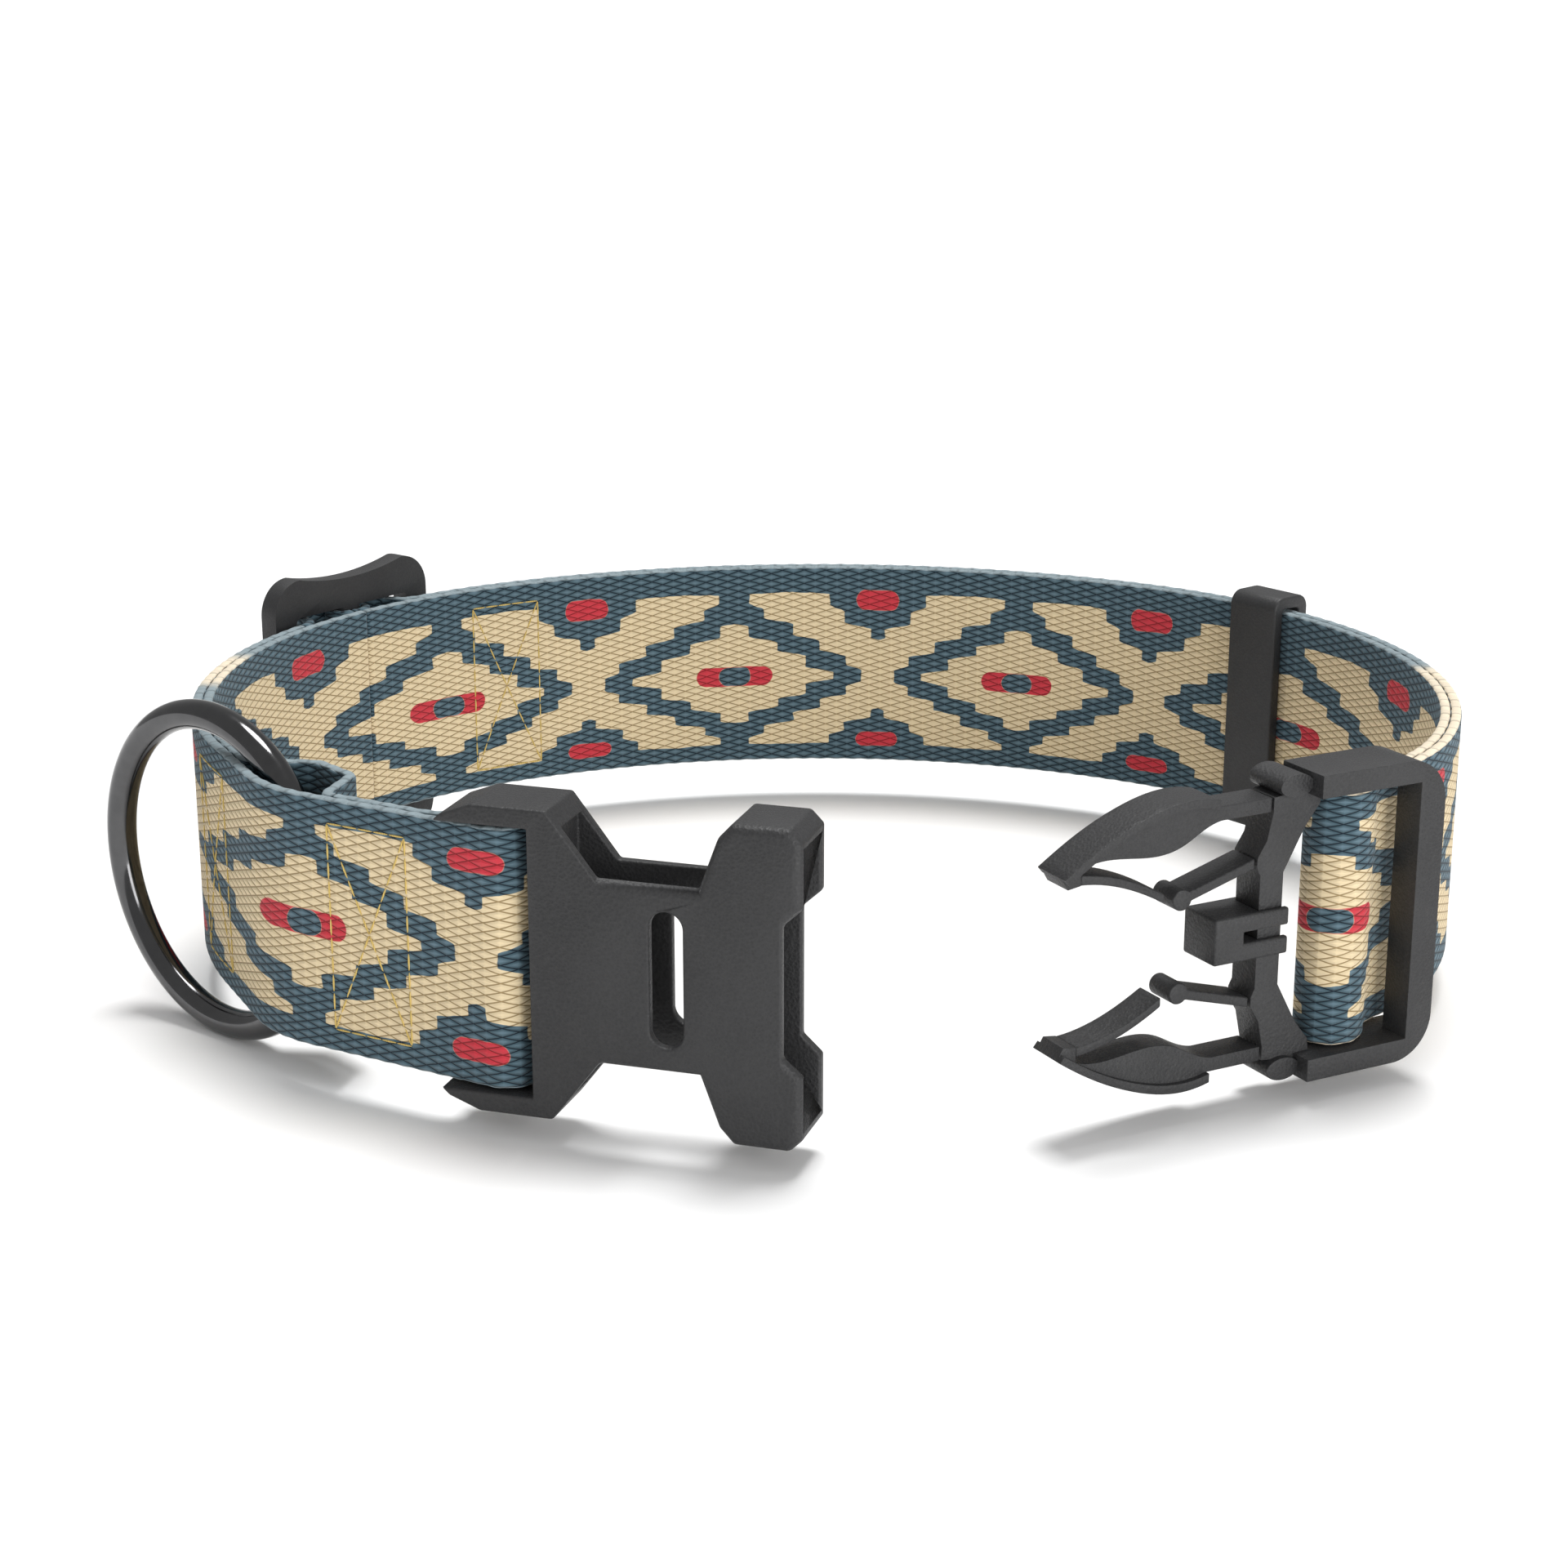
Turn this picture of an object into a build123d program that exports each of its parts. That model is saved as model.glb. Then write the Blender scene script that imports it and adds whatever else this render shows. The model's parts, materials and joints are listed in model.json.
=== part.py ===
from build123d import *
import math
import os

# Adjustable webbing dog collar with a side-release buckle, unclasped and standing on its edge.
#
# The origin is the centre of the neck opening on the surface the collar stands on.
# +Z is up, along the webbing's width, and the buckle faces -Y.
# Plan directions are headings in degrees, anticlockwise from +X.

# ---------------------------------------------------------------- webbing
WEBBING_WIDTH = 25.4
WEBBING_THICKNESS = 1.1

# ---------------------------------------------------------------- plan of the seam between the two layers
BACK_RADIUS = 76.7
BACK_HALF_TURN = 31.0
FLANK_RADIUS = 54.7
LEFT_FLANK_TURN = 85.4
LEFT_SIDE_RUN = 11.0
LEFT_CORNER_RADIUS = 15.6
LEFT_CORNER_TURN = 34.0
LEFT_TAIL = 20.8
RIGHT_FLANK_TURN = 82.4
RIGHT_CORNER_RADIUS = 33.9
RIGHT_CORNER_TURN = 21.3
RIGHT_TAIL = 9.0
BACK_DEPTH = 57.1

# ---------------------------------------------------------------- bars and the loops sewn round them
BAR_RADIUS = 1.9
LOOP_CLEARANCE = 0.2
LOOP_RADIUS = BAR_RADIUS + LOOP_CLEARANCE + WEBBING_THICKNESS / 2
LOOP_OUTSIDE = LOOP_RADIUS + WEBBING_THICKNESS / 2
LOOP_EASE_RADIUS = 5.0
LOOP_LEG_GAP = 0.2

# ---------------------------------------------------------------- leash ring
RING_WIRE = 3.0
RING_SPARE = 3.6
RING_OUTER_DIAMETER = WEBBING_WIDTH + RING_SPARE + 2 * RING_WIRE
RING_STATION = 30.4
RING_GAP = 0.5
RING_HEADING = 138.0

# ---------------------------------------------------------------- tunnel for the ring
TUNNEL_SPARE_DEPTH = 3.2
TUNNEL_LEAD_IN = 4.6
TUNNEL_STEEP_RUN = 1.6
TUNNEL_SPARE_RUN = 2.2
TUNNEL_RETURN_RUN = 4.0
TUNNEL_FILLET = 1.2

# ---------------------------------------------------------------- stitched boxes
STITCH_BOX_WIDTH = 9.0
STITCH_BOX_MARGIN = 2.4
STITCH_LENGTH = 1.7
STITCH_PITCH = 2.3
STITCH_WIDTH = 0.35
STITCH_STAND = 0.18
STITCH_LIFT = 0.03
BOX_A_GAP = 0.2
BOX_B_GAP = 1.4
BOX_C_STATION = 118.2

# ---------------------------------------------------------------- three-bar slide
SLIDE_STATION = 102.2
SLIDE_LENGTH = 24.6
SLIDE_RAIL = 4.5
SLIDE_THICKNESS = 2.4
SLIDE_END_BAR = 3.2
SLIDE_MID_BAR = 3.2
SLIDE_MID_BAR_THICKNESS = 1.8
SLIDE_CORNER = 4.0
SLIDE_WAIST = 1.0
SLIDE_WINDOW_CORNER = 0.8
FOLD_CLEARANCE = 0.2
BUMP_RADIUS = 3.0
BUMP_HALF_LENGTH = 9.3
STACK_GAP = 0.05
CLEARANCE = 0.3

# ---------------------------------------------------------------- keeper loop
KEEPER_STATION = 224.0
KEEPER_WIDTH = 7.0
KEEPER_WALL = 1.5
KEEPER_RADIUS = 1.6

# ---------------------------------------------------------------- female buckle half
BUCKLE_WALL = 2.25
FEMALE_HEADING = -17.5
FEMALE_THICKNESS = 7.2
FEMALE_PLATE = 1.1
PLATE_GAP = 0.5
EAR_REACH = 5.5
EAR_DROP = 0.35
SHOULDER_START = 5.6
WAIST_START = 10.2
WAIST_END = 19.9
WAIST_DROP = 6.35
BLOCK_START = 21.7
MOUTH = 29.6
MOUTH_WALL = 2.05
NOTCH_DEPTH = 1.85
NOTCH_HALF_OUTER = 7.9
NOTCH_HALF_INNER = 6.2
THROAT_WALL = 2.6
SLOT_CENTRE = 16.9
SLOT_WIDTH = 3.2
SLOT_HEIGHT = 13.0

# ---------------------------------------------------------------- male buckle half
MALE_HEADING = -152.0
FRAME_END = 9.6
FRAME_RAIL = 3.0
FRAME_FRONT = 4.1
FRAME_BACK = 2.0
END_RAIL_BACK = 0.6
FRAME_CORNER = 4.5
RAIL_OVERLAP = 2.0
YOKE_OUTER = 7.5
YOKE_INNER = 10.2
YOKE_DEPTH = 3.6
EAR_DEPTH = 5.0
PRONG_ROOT = 9.0
PRONG_DEPTH = 3.4
RIM_DEPTH = 4.6
RIM_WIDTH = 0.9
ARM_THICKNESS = 1.4
ARM_DROP = 2.85
PADDLE_START = 15.4
PRONG_REACH = 32.3
HINGE_GAP = 0.2
STRUT_ROOT = 10.6
STRUT_ROOT_DROP = 8.35
STRUT_THICKNESS = 1.0
BEAD_REACH = 18.9
BEAD_DROP = 10.65
BEAD_RADIUS = 1.05
BEAD_GAP = 0.95
GUIDE_START = 7.1
GUIDE_REACH = 15.6
GUIDE_HALF_HEIGHT = 2.3
GUIDE_DEPTH = 5.0
GUIDE_SLOT = 1.1
GUIDE_SLOT_END = 12.2

HALF_WIDTH = WEBBING_WIDTH / 2
WINDOW_HALF = HALF_WIDTH + CLEARANCE
HALF_BUCKLE = WINDOW_HALF + BUCKLE_WALL
HALF_SLIDE = WINDOW_HALF + SLIDE_RAIL
MID_HEIGHT = max(RING_OUTER_DIAMETER / 2, HALF_SLIDE)


# ================================================================ plan geometry
def run(length):
    return (length, 0.0)


def bend(radius, degrees):
    """An arc as its length and its turn, anticlockwise when positive."""
    return (radius * math.radians(abs(degrees)), degrees)


def step(pose, move):
    """The pose (x, y, heading) at the end of one straight or arc."""
    x, y, heading = pose
    length, turn = move
    middle = math.radians(heading + turn / 2)
    half = math.radians(turn) / 2
    chord = length if turn == 0 else length * math.sin(half) / half
    return (x + chord * math.cos(middle), y + chord * math.sin(middle), heading + turn)


def turn_round(pose):
    return (pose[0], pose[1], pose[2] + 180)


def beside(pose, offset):
    """The same pose moved to its left by an offset."""
    across = math.radians(pose[2] + 90)
    return (pose[0] + offset * math.cos(across), pose[1] + offset * math.sin(across), pose[2])


LEFT_SIDE = [
    run(LEFT_TAIL),
    bend(LEFT_CORNER_RADIUS, -LEFT_CORNER_TURN),
    run(LEFT_SIDE_RUN),
    bend(FLANK_RADIUS, -LEFT_FLANK_TURN),
    bend(BACK_RADIUS, -BACK_HALF_TURN),
]
RIGHT_SIDE = [
    bend(BACK_RADIUS, -BACK_HALF_TURN),
    bend(FLANK_RADIUS, -RIGHT_FLANK_TURN),
    bend(RIGHT_CORNER_RADIUS, -RIGHT_CORNER_TURN),
    run(RIGHT_TAIL),
]
SEAM = LEFT_SIDE + RIGHT_SIDE
SEAM_LENGTH = sum(length for length, turn in SEAM)


def seam_start():
    """The buckle end of the seam, found by walking back from the middle of the back."""
    pose = (0.0, BACK_DEPTH, 180.0)
    for length, turn in reversed(LEFT_SIDE):
        pose = step(pose, (length, -turn))
    return turn_round(pose)


def seam_piece(first, last, offset=0.0):
    """The pose at one station and the moves on to another, beside the seam."""
    pose, moves, station = seam_start(), [], 0.0
    start = None
    for length, turn in SEAM:
        low, high = max(first, station), min(last, station + length)
        if high > low:
            if start is None:
                start = step(pose, ((low - station), turn * (low - station) / length))
            share = (high - low) / length
            moves.append((high - low - offset * math.radians(turn * share), turn * share))
        pose = step(pose, (length, turn))
        station += length
    return beside(start, offset), moves


def at(station, offset=0.0):
    if station <= 0:
        return beside(step(seam_start(), run(station)), offset)
    pose, moves = seam_piece(0.0, station)
    for move in moves:
        pose = step(pose, move)
    return beside(pose, offset)


def corners_to_moves(points, radius):
    """Straights joined by arcs of one radius through a list of corner points."""
    headings = [math.degrees(math.atan2(b[1] - a[1], b[0] - a[0])) for a, b in zip(points, points[1:])]
    turns = [(b - a + 180) % 360 - 180 for a, b in zip(headings, headings[1:])]
    cuts = [0.0] + [radius * math.tan(math.radians(abs(turn)) / 2) for turn in turns] + [0.0]
    moves = []
    for index, (a, b) in enumerate(zip(points, points[1:])):
        moves.append(run(math.dist(a[:2], b[:2]) - cuts[index] - cuts[index + 1]))
        if index < len(turns):
            moves.append(bend(radius, turns[index]))
    return (points[0][0], points[0][1], headings[0]), moves


def band(label, pose, moves, thickness=WEBBING_THICKNESS, height=WEBBING_WIDTH):
    """A strip standing on its edge, centred on a route of straights and arcs."""
    poses = [pose]
    for move in moves:
        poses.append(step(poses[-1], move))
    with BuildPart() as strip:
        with BuildSketch(Plane.XY.offset(MID_HEIGHT - height / 2)):
            with BuildLine():
                for side in (thickness / 2, -thickness / 2):
                    for begin, end, move in zip(poses, poses[1:], moves):
                        a, b = beside(begin, side)[:2], beside(end, side)[:2]
                        if move[1] == 0:
                            Line(a, b)
                        else:
                            middle = step(begin, (move[0] / 2, move[1] / 2))
                            ThreePointArc(a, beside(middle, side)[:2], b)
                for end in (poses[0], poses[-1]):
                    Line(beside(end, thickness / 2)[:2], beside(end, -thickness / 2)[:2])
            make_face()
        extrude(amount=height)
    strip.part.label = label
    return strip


def upright_plane(pose, outwards=1):
    """A plane with x along a heading and y up, its normal to the right or the left of that heading."""
    heading = math.radians(pose[2])
    along = (math.cos(heading) * outwards, math.sin(heading) * outwards, 0)
    normal = (math.sin(heading) * outwards, -math.cos(heading) * outwards, 0)
    return Plane(origin=(pose[0], pose[1], MID_HEIGHT), x_dir=along, z_dir=normal)


# ================================================================ where the hardware sits
HALF_LAYER = WEBBING_THICKNESS / 2
FEMALE_BAR_INSET = LOOP_RADIUS - HALF_LAYER
BAR_TO_PLATE = LOOP_OUTSIDE + PLATE_GAP
female_bar_pose = at(0.0, -FEMALE_BAR_INSET)
male_bar_pose = at(SEAM_LENGTH)
female_plane = upright_plane((female_bar_pose[0], female_bar_pose[1], FEMALE_HEADING))
male_plane = upright_plane((male_bar_pose[0], male_bar_pose[1], MALE_HEADING))

# The ring's wire crosses the webbing's edges at its pivot and bows towards the female buckle half.
ring_radius = (RING_OUTER_DIAMETER - RING_WIRE) / 2
ring_reach = ring_radius - math.sqrt(ring_radius**2 - HALF_WIDTH**2)
ring_room = ring_reach + RING_WIRE / 2
ring_pivot = at(RING_STATION, -RING_WIRE / 2 - RING_GAP)
tunnel_floor = -RING_WIRE - TUNNEL_SPARE_DEPTH - HALF_LAYER
tunnel_start = RING_STATION - ring_room - TUNNEL_LEAD_IN
tunnel_deep_start = tunnel_start + TUNNEL_FILLET + TUNNEL_STEEP_RUN
tunnel_deep_end = tunnel_deep_start + ring_room + TUNNEL_SPARE_RUN
tunnel_end = tunnel_deep_end + TUNNEL_RETURN_RUN + TUNNEL_FILLET


def ease(rise):
    """The turn of two equal and opposite arcs that shift a strip sideways by a rise."""
    return math.degrees(math.acos(1 - rise / (2 * LOOP_EASE_RADIUS)))


# ================================================================ webbing
# Each loop's inner leg stops just short of the outer one, so that its outline never touches itself.
leg_gap_turn = math.degrees(LOOP_LEG_GAP / LOOP_EASE_RADIUS)
inner_ease = ease(2 * LOOP_RADIUS - WEBBING_THICKNESS)
female_loop_run = 2 * LOOP_EASE_RADIUS * math.sin(math.radians(inner_ease))
female_loop = band(
    "webbing_female_loop",
    turn_round(at(female_loop_run, HALF_LAYER)),
    [
        run(female_loop_run),
        bend(LOOP_RADIUS, 180),
        bend(LOOP_EASE_RADIUS, inner_ease),
        bend(LOOP_EASE_RADIUS, leg_gap_turn - inner_ease),
    ],
)

male_ease = ease(LOOP_RADIUS - HALF_LAYER)
male_loop_run = 2 * LOOP_EASE_RADIUS * math.sin(math.radians(male_ease))
male_loop_station = SEAM_LENGTH - male_loop_run
male_loop = band(
    "webbing_male_loop",
    at(male_loop_station, HALF_LAYER),
    [
        bend(LOOP_EASE_RADIUS, male_ease),
        bend(LOOP_EASE_RADIUS, -male_ease),
        bend(LOOP_RADIUS, -180),
        bend(LOOP_EASE_RADIUS, -male_ease),
        bend(LOOP_EASE_RADIUS, male_ease - leg_gap_turn),
    ],
)

# The outer layer climbs over the slide's middle bar and the fold that is sewn round it.
fold_inner_length = SLIDE_MID_BAR + 2 * FOLD_CLEARANCE
fold_inner_height = SLIDE_MID_BAR_THICKNESS + 2 * FOLD_CLEARANCE
fold_height = fold_inner_height + 2 * WEBBING_THICKNESS
bump_rise = fold_height + 2 * STACK_GAP
bumped_radius = FLANK_RADIUS + HALF_LAYER
bump_lean = math.asin(BUMP_HALF_LENGTH / bumped_radius)
bump_sagitta = bumped_radius * (1 - math.cos(bump_lean))
bump_steepest = math.acos(
    (BUMP_RADIUS * (1 + math.cos(bump_lean)) - bump_rise - bump_sagitta) / (2 * BUMP_RADIUS)
)
bump_ramp = BUMP_RADIUS * (2 * math.sin(bump_steepest) - math.sin(bump_lean))
bump_turn_out = math.degrees(bump_steepest - bump_lean)
bump_turn_in = math.degrees(bump_steepest)
bump_half_station = FLANK_RADIUS * bump_lean
webbing_slide_bridge = band(
    "webbing_slide_bridge",
    at(SLIDE_STATION - bump_half_station, HALF_LAYER),
    [
        bend(BUMP_RADIUS, bump_turn_out),
        bend(BUMP_RADIUS, -bump_turn_in),
        run(2 * (BUMP_HALF_LENGTH - bump_ramp)),
        bend(BUMP_RADIUS, -bump_turn_in),
        bend(BUMP_RADIUS, bump_turn_out),
    ],
)

# Both layers of the plain lengths follow the seam, one each side of it.
webbing_outer_left = band(
    "webbing_outer_left",
    *seam_piece(female_loop_run, SLIDE_STATION - bump_half_station, HALF_LAYER),
)
webbing_outer_right = band(
    "webbing_outer_right",
    *seam_piece(SLIDE_STATION + bump_half_station, male_loop_station, HALF_LAYER),
)
webbing_inner_front = band("webbing_inner_front", *seam_piece(female_loop_run, tunnel_start, -HALF_LAYER))
webbing_inner_left = band("webbing_inner_left", *seam_piece(tunnel_end, SLIDE_STATION, -HALF_LAYER))
webbing_inner_right = band(
    "webbing_inner_right",
    *seam_piece(SLIDE_STATION, male_loop_station, -HALF_LAYER),
)

# The inner layer stands away from the outer one between two stitched boxes, where the ring passes.
tunnel_points = [
    at(tunnel_start, -HALF_LAYER),
    at(tunnel_start + TUNNEL_FILLET, -HALF_LAYER),
    at(tunnel_deep_start, tunnel_floor),
    at(tunnel_deep_end, tunnel_floor),
    at(tunnel_end - TUNNEL_FILLET, -HALF_LAYER),
    at(tunnel_end, -HALF_LAYER),
]
webbing_ring_tunnel = band("webbing_ring_tunnel", *corners_to_moves(tunnel_points, TUNNEL_FILLET))

# The strap's end is folded round the slide's middle bar as a flat sleeve.
slide_pose = at(SLIDE_STATION)
fold_corner = fold_inner_height / 2 + HALF_LAYER
fold_straight = fold_inner_length - fold_inner_height
fold_centre = STACK_GAP + fold_height / 2
fold_start = beside(step(slide_pose, run(-fold_straight / 2)), fold_centre - fold_corner)
webbing_slide_fold = band(
    "webbing_slide_fold",
    fold_start,
    [run(fold_straight), bend(fold_corner, 180), run(fold_straight), bend(fold_corner, 179.0)],
)


# ================================================================ stitching
def stitch_places(first, offset, outwards, height=WEBBING_WIDTH - 2 * STITCH_BOX_MARGIN):
    """Planes for the stitches of a box with a cross in it, lying on one face of the webbing."""
    half = height / 2
    corners = [(0, -half), (STITCH_BOX_WIDTH, -half), (STITCH_BOX_WIDTH, half), (0, half)]
    rows = list(zip(corners, corners[1:] + corners[:1]))
    rows += [(corners[0], corners[2]), (corners[1], corners[3])]
    places = []
    for a, b in rows:
        length = math.dist(a, b)
        count = int(length // STITCH_PITCH)
        for index in range(count):
            share = (index + 0.5) / count
            across, up = a[0] + (b[0] - a[0]) * share, a[1] + (b[1] - a[1]) * share
            pose = at(first + across, offset)
            heading = math.radians(pose[2])
            lean = (b[0] - a[0]) / length
            rise = (b[1] - a[1]) / length
            places.append(
                Plane(
                    origin=(pose[0], pose[1], MID_HEIGHT + up),
                    x_dir=(math.cos(heading) * lean, math.sin(heading) * lean, rise),
                    z_dir=(-math.sin(heading) * outwards, math.cos(heading) * outwards, 0),
                )
            )
    return places


def stitch_box(label, first):
    lift = WEBBING_THICKNESS + STITCH_LIFT + STITCH_STAND / 2
    places = stitch_places(first, lift, 1) + stitch_places(first, -lift, -1)
    with BuildPart() as thread:
        with Locations(*places):
            Box(STITCH_LENGTH, STITCH_WIDTH, STITCH_STAND)
    thread.part.label = label
    return thread


stitch_box_a = stitch_box("stitch_box_a", tunnel_start - BOX_A_GAP - STITCH_BOX_WIDTH)
stitch_box_b = stitch_box("stitch_box_b", tunnel_end + BOX_B_GAP)
stitch_box_c = stitch_box("stitch_box_c", BOX_C_STATION)


# ================================================================ leash ring
ring_far = (ring_pivot[0], ring_pivot[1], RING_HEADING)
ring_centre = step(ring_far, run(ring_radius - ring_reach))
ring_plane = upright_plane(ring_centre)
with BuildPart() as leash_ring:
    with BuildSketch(Plane(origin=ring_plane.origin, x_dir=ring_plane.z_dir, z_dir=ring_plane.x_dir)):
        with Locations((0, ring_radius)):
            Circle(RING_WIRE / 2)
    revolve(axis=Axis(ring_plane.origin, ring_plane.z_dir), revolution_arc=360)
leash_ring.part.label = "leash_ring"


# ================================================================ three-bar slide and keeper
slide_inner_face = STACK_GAP + WEBBING_THICKNESS + FOLD_CLEARANCE
slide_plane = upright_plane(beside(slide_pose, slide_inner_face + SLIDE_THICKNESS / 2), -1)
slide_bar_pose = beside(slide_pose, slide_inner_face + SLIDE_MID_BAR_THICKNESS / 2)
slide_bar_plane = Plane(origin=(slide_bar_pose[0], slide_bar_pose[1], MID_HEIGHT), x_dir=slide_plane.x_dir)
with BuildPart() as slide_frame:
    with BuildSketch(slide_plane.offset(-SLIDE_THICKNESS / 2)):
        with BuildLine():
            half_length, half_height = SLIDE_LENGTH / 2, HALF_SLIDE
            for up in (1, -1):
                ThreePointArc(
                    (-half_length + SLIDE_CORNER, up * half_height),
                    (0, up * (half_height - SLIDE_WAIST)),
                    (half_length - SLIDE_CORNER, up * half_height),
                )
            for along in (1, -1):
                Line(
                    (along * half_length, SLIDE_CORNER - half_height),
                    (along * half_length, half_height - SLIDE_CORNER),
                )
                for up in (1, -1):
                    ThreePointArc(
                        (along * half_length, up * (half_height - SLIDE_CORNER)),
                        (
                            along * (half_length - SLIDE_CORNER * (1 - math.sqrt(0.5))),
                            up * (half_height - SLIDE_CORNER * (1 - math.sqrt(0.5))),
                        ),
                        (along * (half_length - SLIDE_CORNER), up * half_height),
                    )
        make_face()
        window_length = SLIDE_LENGTH - 2 * SLIDE_END_BAR
        RectangleRounded(window_length, 2 * WINDOW_HALF, SLIDE_WINDOW_CORNER, mode=Mode.SUBTRACT)
    extrude(amount=SLIDE_THICKNESS)
    with BuildSketch(slide_bar_plane):
        SlotOverall(SLIDE_MID_BAR, SLIDE_MID_BAR_THICKNESS)
    extrude(amount=WINDOW_HALF + SLIDE_WINDOW_CORNER, both=True)
slide_frame.part.label = "slide_frame"

keeper_pose = at(KEEPER_STATION)
keeper_opening = 2 * (WEBBING_THICKNESS + CLEARANCE)
keeper_heading = math.radians(keeper_pose[2])
keeper_plane = Plane(
    origin=(keeper_pose[0], keeper_pose[1], MID_HEIGHT),
    x_dir=(0, 0, 1),
    z_dir=(math.cos(keeper_heading), math.sin(keeper_heading), 0),
)
with BuildPart() as keeper:
    with BuildSketch(keeper_plane):
        RectangleRounded(2 * (WINDOW_HALF + KEEPER_WALL), keeper_opening + 2 * KEEPER_WALL, KEEPER_RADIUS)
        RectangleRounded(2 * WINDOW_HALF, keeper_opening, KEEPER_RADIUS / 4, mode=Mode.SUBTRACT)
    extrude(amount=KEEPER_WIDTH / 2, both=True)
keeper.part.label = "keeper"


# ================================================================ female buckle half
female_outline = [
    (BAR_TO_PLATE, 0),
    (BAR_TO_PLATE, WINDOW_HALF),
    (-EAR_REACH, WINDOW_HALF),
    (-EAR_REACH * 0.85, WINDOW_HALF + 0.75),
    (-EAR_REACH * 0.3, HALF_BUCKLE - EAR_DROP),
    (SHOULDER_START, HALF_BUCKLE - EAR_DROP),
    (WAIST_START, HALF_BUCKLE - WAIST_DROP),
    (WAIST_END, HALF_BUCKLE - WAIST_DROP),
    (BLOCK_START, HALF_BUCKLE - 1.5),
    (BLOCK_START + 1.4, HALF_BUCKLE),
    (MOUTH - 1.2, HALF_BUCKLE),
    (MOUTH, HALF_BUCKLE - 1.2),
    (MOUTH, NOTCH_HALF_OUTER),
    (MOUTH - NOTCH_DEPTH, NOTCH_HALF_INNER),
    (MOUTH - NOTCH_DEPTH, 0),
]
cavity_height = 2 * (HALF_BUCKLE - MOUTH_WALL)
cavity_depth = FEMALE_THICKNESS - 2 * FEMALE_PLATE
cavity_start = BAR_TO_PLATE + THROAT_WALL
with BuildPart() as female_housing:
    with BuildSketch(female_plane.offset(-FEMALE_THICKNESS / 2)):
        with BuildLine():
            Polyline(*female_outline, *[(u, -z) for u, z in reversed(female_outline[:-1])], close=True)
        make_face()
        with Locations((SLOT_CENTRE, 0)):
            SlotOverall(SLOT_HEIGHT, SLOT_WIDTH, rotation=90, mode=Mode.SUBTRACT)
    extrude(amount=FEMALE_THICKNESS)
    with BuildSketch(female_plane.offset(-cavity_depth / 2)):
        with Locations(((cavity_start + MOUTH + 1) / 2, 0)):
            Rectangle(MOUTH + 1 - cavity_start, cavity_height)
    extrude(amount=cavity_depth, mode=Mode.SUBTRACT)
female_housing.part.label = "female_housing"


def bar(label, plane):
    with BuildPart() as rod:
        with BuildSketch(Plane(origin=plane.origin - Vector(0, 0, WINDOW_HALF))):
            Circle(BAR_RADIUS)
        extrude(amount=2 * WINDOW_HALF)
    rod.part.label = label
    return rod


female_bar = bar("female_bar", female_plane)
male_bar = bar("male_bar", male_plane)


# ================================================================ male buckle half
RAIL_END = LOOP_OUTSIDE + RAIL_OVERLAP
arm_height = HALF_BUCKLE - ARM_DROP
strut_root_height = HALF_BUCKLE - STRUT_ROOT_DROP
bead_height = HALF_BUCKLE - BEAD_DROP


def male_sketch(depth):
    """The sketch plane of a slab that is centred in the buckle's thickness."""
    return male_plane.offset(-depth / 2)


rail_middle = (WINDOW_HALF + HALF_BUCKLE) / 2
with BuildPart() as male_frame:
    with BuildSketch(male_plane.offset(-FRAME_FRONT)) as frame_sketch:
        with Locations(((RAIL_END - FRAME_END) / 2, 0)):
            Rectangle(RAIL_END + FRAME_END, 2 * HALF_BUCKLE)
        fillet(frame_sketch.vertices().group_by(Axis.X)[0], FRAME_CORNER)
        with Locations(((RAIL_END - FRAME_END + FRAME_RAIL) / 2 + FRAME_RAIL / 2, 0)):
            Rectangle(RAIL_END + FRAME_END, 2 * WINDOW_HALF, mode=Mode.SUBTRACT)
    extrude(amount=FRAME_FRONT + FRAME_BACK)
    with BuildSketch(male_plane.offset(-END_RAIL_BACK)):
        with Locations((FRAME_RAIL - FRAME_END, 0)):
            Rectangle(4 * FRAME_RAIL, 2 * WINDOW_HALF)
    extrude(amount=END_RAIL_BACK + FRAME_BACK, mode=Mode.SUBTRACT)
    yoke_outline = [
        (YOKE_INNER, 0),
        (YOKE_INNER, strut_root_height - 1.3),
        (STRUT_ROOT, strut_root_height - STRUT_THICKNESS / 2),
        (STRUT_ROOT, strut_root_height + STRUT_THICKNESS / 2),
        (PRONG_ROOT + 0.6, arm_height - 3.4),
        (PRONG_ROOT, arm_height - ARM_THICKNESS / 2),
        (PRONG_ROOT, arm_height + ARM_THICKNESS / 2),
        (YOKE_OUTER - 0.4, WINDOW_HALF + 0.3),
        (RAIL_END, HALF_BUCKLE - 0.8),
        (RAIL_END - 1.8, WINDOW_HALF + 0.4),
        (RAIL_END - 1.6, WINDOW_HALF - 1.2),
        (RAIL_END, WINDOW_HALF - 3.2),
        (YOKE_OUTER, strut_root_height - 1.3),
        (YOKE_OUTER, 0),
    ]
    with BuildSketch(male_sketch(YOKE_DEPTH)):
        for side in (1, -1):
            with BuildLine():
                Polyline(*[(u, side * z) for u, z in yoke_outline], close=True)
            make_face()
    extrude(amount=YOKE_DEPTH)
    with BuildSketch(male_sketch(EAR_DEPTH)):
        for side in (1, -1):
            with Locations((YOKE_OUTER - 0.6, side * rail_middle)):
                Ellipse(1.9, HALF_BUCKLE - rail_middle)
    extrude(amount=EAR_DEPTH)
male_frame.part.label = "male_frame"

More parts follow.
